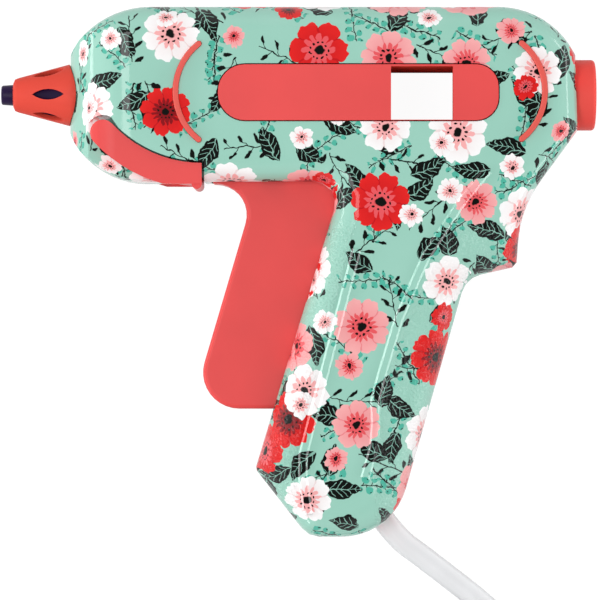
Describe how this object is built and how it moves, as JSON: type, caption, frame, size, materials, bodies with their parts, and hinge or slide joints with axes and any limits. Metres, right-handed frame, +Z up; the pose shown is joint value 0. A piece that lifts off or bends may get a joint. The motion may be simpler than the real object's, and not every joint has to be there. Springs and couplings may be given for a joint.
{
  "type": "hot glue gun",
  "caption": "Pistol-shaped hot glue applicator with a sliding trigger, stick inlet, see-through stick window, slotted soft nozzle cover, fold-down stand and a flat twin mains cord.",
  "frame": {"origin": "centre of the footprint of the tool lying on its side, at floor level; the cord is left out", "axes": "+X from the nozzle to the stick inlet, +Y from the grip's end to the top of the barrel, +Z up from the floor through both side faces"},
  "size_m": [0.1068, 0.1717, 0.0242],
  "materials": {
    "printed_mint": "mint with a repeating flower print, light gloss",
    "red_plastic": "coral red, semi-gloss",
    "red_silicone": "orange-red, soft matte",
    "dark_nozzle": "dark coated metal",
    "phenolic": "heat-proof moulding",
    "cast_aluminium": "as cast",
    "fibre": "pale heat-proof fibre",
    "heater_ceramic": null,
    "spring_steel": "bright",
    "contact_brass": "plated",
    "natural_nylon": "natural white",
    "cord_pvc": "white, satin",
    "tie_fabric": "black strap"
  },
  "bodies": {
    "case": {"left_shell": "printed_mint", "right_shell": "printed_mint", "left_window_insert": "red_plastic", "right_window_insert": "red_plastic", "left_front_arc": "red_plastic", "left_rear_arc": "red_plastic", "right_front_arc": "red_plastic", "right_rear_arc": "red_plastic", "stick_inlet": "red_plastic", "nozzle_cover": "red_silicone", "nozzle": "dark_nozzle", "nose_bush": "phenolic", "melt_chamber": "cast_aluminium", "front_heat_ring": "fibre", "rear_heat_ring": "fibre", "heater_chip": "heater_ceramic", "heater_plates": "contact_brass", "heater_films": "fibre", "heater_clip": "spring_steel", "stick_sleeve": "red_silicone", "sleeve_clip": "spring_steel", "lever_pivot_pin": "spring_steel", "return_spring": "spring_steel", "body_screws": "spring_steel", "cord_clamp": "natural_nylon", "clamp_screws": "spring_steel", "inner_cord": "cord_pvc", "live_lead": "cord_pvc", "neutral_lead": "cord_pvc", "splice_caps": "natural_nylon", "cord_lead": "cord_pvc", "cord_coil": "cord_pvc", "cord_tail": "cord_pvc", "cord_tie": "tie_fabric", "plug_body": "cord_pvc", "plug_blades": "contact_brass"},
    "trigger_set": {"trigger": "red_plastic", "trigger_link_pin": "spring_steel"},
    "feed_lever": {"feed_lever": "natural_nylon"},
    "carriage": {"feed_carriage": "natural_nylon", "grip_washer": "spring_steel"},
    "kickstand": {"kickstand": "red_plastic"}
  },
  "joints": [
    {"name": "trigger_slide", "type": "slide", "parent": "case", "child": "trigger_set", "axis": [1, 0, 0], "range_m": [0, 0.0076], "stiffness_N_per_m": 400, "springref_m": -0.003, "deforming": ["return_spring"]},
    {"name": "lever_turn", "type": "hinge", "parent": "case", "child": "feed_lever", "pos_m": [0.0025, 0.0205, 0.0121], "axis": [0, 0, 1], "range_deg": [0, 38.2]},
    {"name": "carriage_slide", "type": "slide", "parent": "case", "child": "carriage", "axis": [-1, 0, 0], "range_m": [0, 0.00781]},
    {"name": "stand_turn", "type": "hinge", "parent": "case", "child": "kickstand", "pos_m": [-0.03469, 0.02472, 0.0121], "axis": [0, 0, -1], "range_deg": [0, 75]}
  ],
  "couplings": [
    {"joint": "lever_turn", "follows": "trigger_slide", "rad_per_m": 87.53},
    {"joint": "carriage_slide", "follows": "trigger_slide", "ratio": 1.0273}
  ]
}
